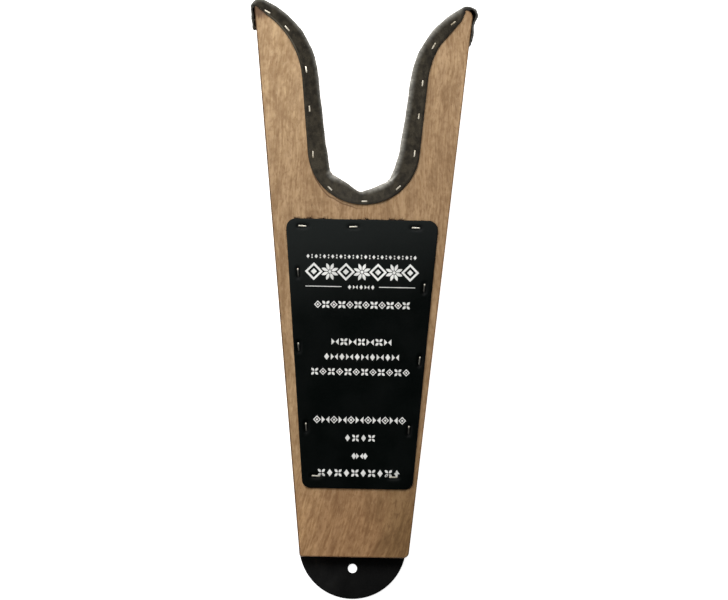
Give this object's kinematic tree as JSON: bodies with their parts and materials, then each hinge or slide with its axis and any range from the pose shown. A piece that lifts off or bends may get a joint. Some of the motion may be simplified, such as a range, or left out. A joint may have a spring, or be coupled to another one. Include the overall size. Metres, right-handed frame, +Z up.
{
  "type": "boot jack",
  "caption": "Sloping wooden boot puller: tapered board on a wedge-cut cleat, U-shaped fork lined with stapled suede, leather panel on its face and a leather hanging tab under its tail.",
  "frame": {"origin": "on the floor, under the middle of the whole jack as it stands in use", "axes": "+Y along the jack towards the fork, +Z up, +X to the right seen from above with the fork pointing away; the board rises towards +Y by 8.26 degrees"},
  "size_m": [0.1555, 0.4126, 0.0728],
  "materials": {
    "board_wood": "light stained birch-faced plywood, thin satin coat",
    "cleat_wood": "planed softwood, bare",
    "screw_steel": "zinc-plated",
    "suede": "dark brown-grey suede, rough nap",
    "staple_steel": "bright galvanised wire",
    "panel_leather": "smooth black leather, satin, pale printed ornament",
    "tab_leather": "smooth black sole leather"
  },
  "bodies": {
    "root": {"board": "board_wood", "cleat": "cleat_wood", "cleat_screws": "screw_steel", "fork_lining": "suede", "lining_face_staples": "staple_steel", "lining_back_staples": "staple_steel", "lining_end_staples": "staple_steel", "panel": "panel_leather", "panel_staples": "staple_steel", "tail_tab": "tab_leather", "tab_staples": "staple_steel"}
  },
  "joints": []
}
